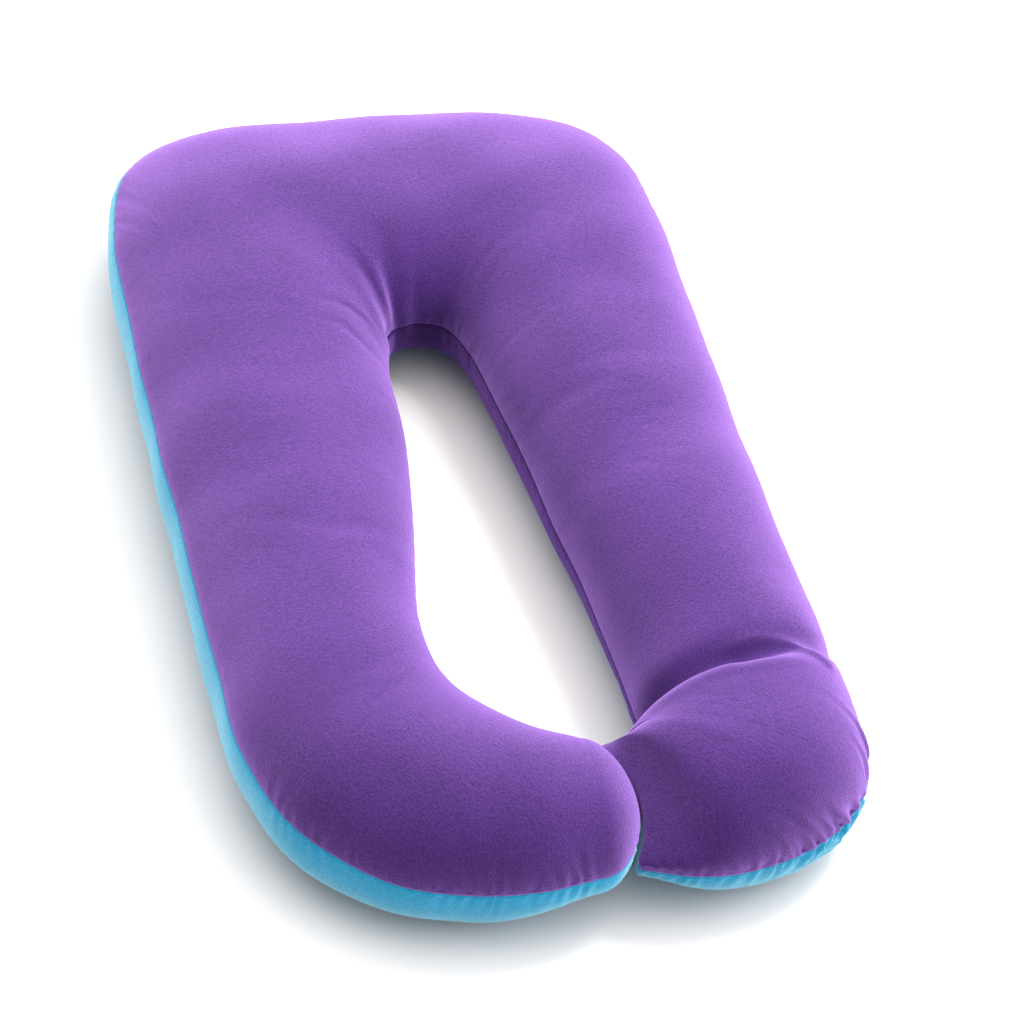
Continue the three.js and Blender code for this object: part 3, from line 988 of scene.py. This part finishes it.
def plush(name, base, contrast, sheen, nap):
    """Short-pile plush: brushed streaks, fine grain and soft mottling, with a velvet sheen."""
    material, tree, shader = new_material(name, 1.0, 0.0)
    shader.inputs["Sheen Weight"].default_value = 1.0
    shader.inputs["Sheen Roughness"].default_value = nap
    place = tree.nodes.new("ShaderNodeTexCoord").outputs["Object"]
    pile = add_pile(tree, place)
    mottling = add_noise(tree, place, MOTTLE_SCALE, MOTTLE_DETAIL)
    tone = add_mix(tree, MOTTLE_SHARE, pile, mottling)
    tree.links.new(add_shades(tree, tone, base, contrast), shader.inputs["Base Color"])
    tree.links.new(add_shades(tree, tone, sheen, SHEEN_CONTRAST), shader.inputs["Sheen Tint"])
    bump = tree.nodes.new("ShaderNodeBump")
    bump.inputs["Strength"].default_value = PILE_STRENGTH
    bump.inputs["Distance"].default_value = PILE_DEPTH
    tree.links.new(pile, bump.inputs["Height"])
    tree.links.new(bump.outputs["Normal"], shader.inputs["Normal"])
    return material


def purple_plush():
    return plush("purple_plush", (0.016, 0.0025, 0.058), 0.5, (0.53, 0.285, 0.85), 0.59)


def blue_plush():
    return plush("blue_plush", (0.012, 0.21, 0.37), 0.2, (0.48, 0.78, 0.85), 0.45)


# The strip is the same purple plush, with darker base colour and sheen tint: painted shade for the shade
# that falls on the inner wall.
def strip_plush_painted_shade():
    return plush("strip_plush_painted_shade", (0.009, 0.002, 0.03), 0.5, (0.28, 0.14, 0.52), 0.6)


def floor_paper():
    material, _, shader = new_material("floor_paper", FLOOR_ROUGHNESS, FLOOR_SHINE)
    shader.inputs["Base Color"].default_value = (*FLOOR_COLOUR, 1)
    return material


def stuffed_body(pillow):
    body = build_body(pillow)
    body.data.materials.append(purple_plush())
    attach(body, "root")
    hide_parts("filled_body")


def underside_sheet(pillow):
    crown, band, base = pillow.skin.columns
    columns = range(crown + band, crown + band + base + 1)
    under = build_panel("underside_sheet", pillow, columns, slice(None))
    under.data.materials.append(blue_plush())
    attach(under, "root")
    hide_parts("underside_panel")


def inner_strip(pillow):
    crown, band, _ = pillow.skin.columns
    u = pillow.skin.sections["u"]
    rows = np.nonzero((u >= BAND_FROM) & (u <= BAND_TO))[0]
    inner = build_panel("inner_strip", pillow, range(crown, crown + band + 1), rows)
    # Its plush is darker than the purple plush: painted shade for the shaded inner wall.
    inner.data.materials.append(strip_plush_painted_shade())
    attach(inner, "root")
    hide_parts("inner_band")


def camera():
    """The photograph's view of the pillow."""
    azimuth = math.radians(CAMERA_AZIMUTH)
    elevation = math.radians(CAMERA_ELEVATION)
    roll = math.radians(CAMERA_ROLL)
    back = np.array([
        math.sin(azimuth) * math.cos(elevation),
        -math.cos(azimuth) * math.cos(elevation),
        math.sin(elevation),
    ])
    level = np.array([math.cos(azimuth), math.sin(azimuth), 0])
    upright = np.cross(back, level)
    right = math.cos(roll) * level - math.sin(roll) * upright
    top = np.cross(back, right)
    place = CAMERA_TARGET + back * CAMERA_DISTANCE
    data = bpy.data.cameras.new("camera")
    data.sensor_width = SENSOR_WIDTH
    data.lens = FOCAL_PIXELS / PHOTO_PIXELS * SENSOR_WIDTH
    data.clip_start = NEAREST
    data.clip_end = FARTHEST
    obj = bpy.data.objects.new("camera", data)
    bpy.context.scene.collection.objects.link(obj)
    rows = [[right[i], top[i], back[i], place[i]] for i in range(3)]
    obj.matrix_world = Matrix([*rows, [0, 0, 0, 1]])
    bpy.context.scene.camera = obj


def surround():
    """White surround, brightest from the right and behind and dim from the left and in front."""
    world = bpy.data.worlds.new("surround")
    bpy.context.scene.world = world
    world.use_nodes = True
    tree = world.node_tree
    background = tree.nodes["Background"]
    background.inputs["Strength"].default_value = SURROUND_STRENGTH
    direction = tree.nodes.new("ShaderNodeTexCoord").outputs["Generated"]
    along = tree.nodes.new("ShaderNodeVectorMath")
    along.operation = "DOT_PRODUCT"
    along.inputs[1].default_value = BRIGHT_SIDE
    tree.links.new(direction, along.inputs[0])
    shade = add_range(tree, along.outputs["Value"], DIM_TO_BRIGHT)
    shade.interpolation_type = "SMOOTHSTEP"
    shade.inputs["To Min"].default_value = DIM_SIDE
    tree.links.new(shade.outputs["Result"], background.inputs["Color"])


def key_lamp():
    """Soft disc of light from the right and above."""
    data = bpy.data.lights.new("key", "AREA")
    data.shape = "DISK"
    data.size = KEY_SIZE
    data.energy = KEY_POWER
    data.color = KEY_COLOUR
    obj = bpy.data.objects.new("key", data)
    bpy.context.scene.collection.objects.link(obj)
    obj.location = KEY_PLACE
    aim = Vector(KEY_TARGET) - Vector(KEY_PLACE)
    obj.rotation_euler = aim.to_track_quat("-Z", "Y").to_euler()


def studio():
    """Pale floor, a soft key light and a white surround."""
    bpy.ops.mesh.primitive_plane_add(size=FLOOR_SIZE, location=(0, 0, 0))
    floor = bpy.context.object
    floor.name = "floor"
    floor.data.materials.append(floor_paper())
    surround()
    key_lamp()
    bpy.context.scene.view_settings.view_transform = "Standard"


def main():
    camera()
    studio()
    pillow = Pillow(Skin(ROW_SPACING, TIP_ROWS, COLUMNS, SEAM_EDGES))
    dress(pillow)
    pillow.finish()
    stuffed_body(pillow)
    underside_sheet(pillow)
    inner_strip(pillow)


main()
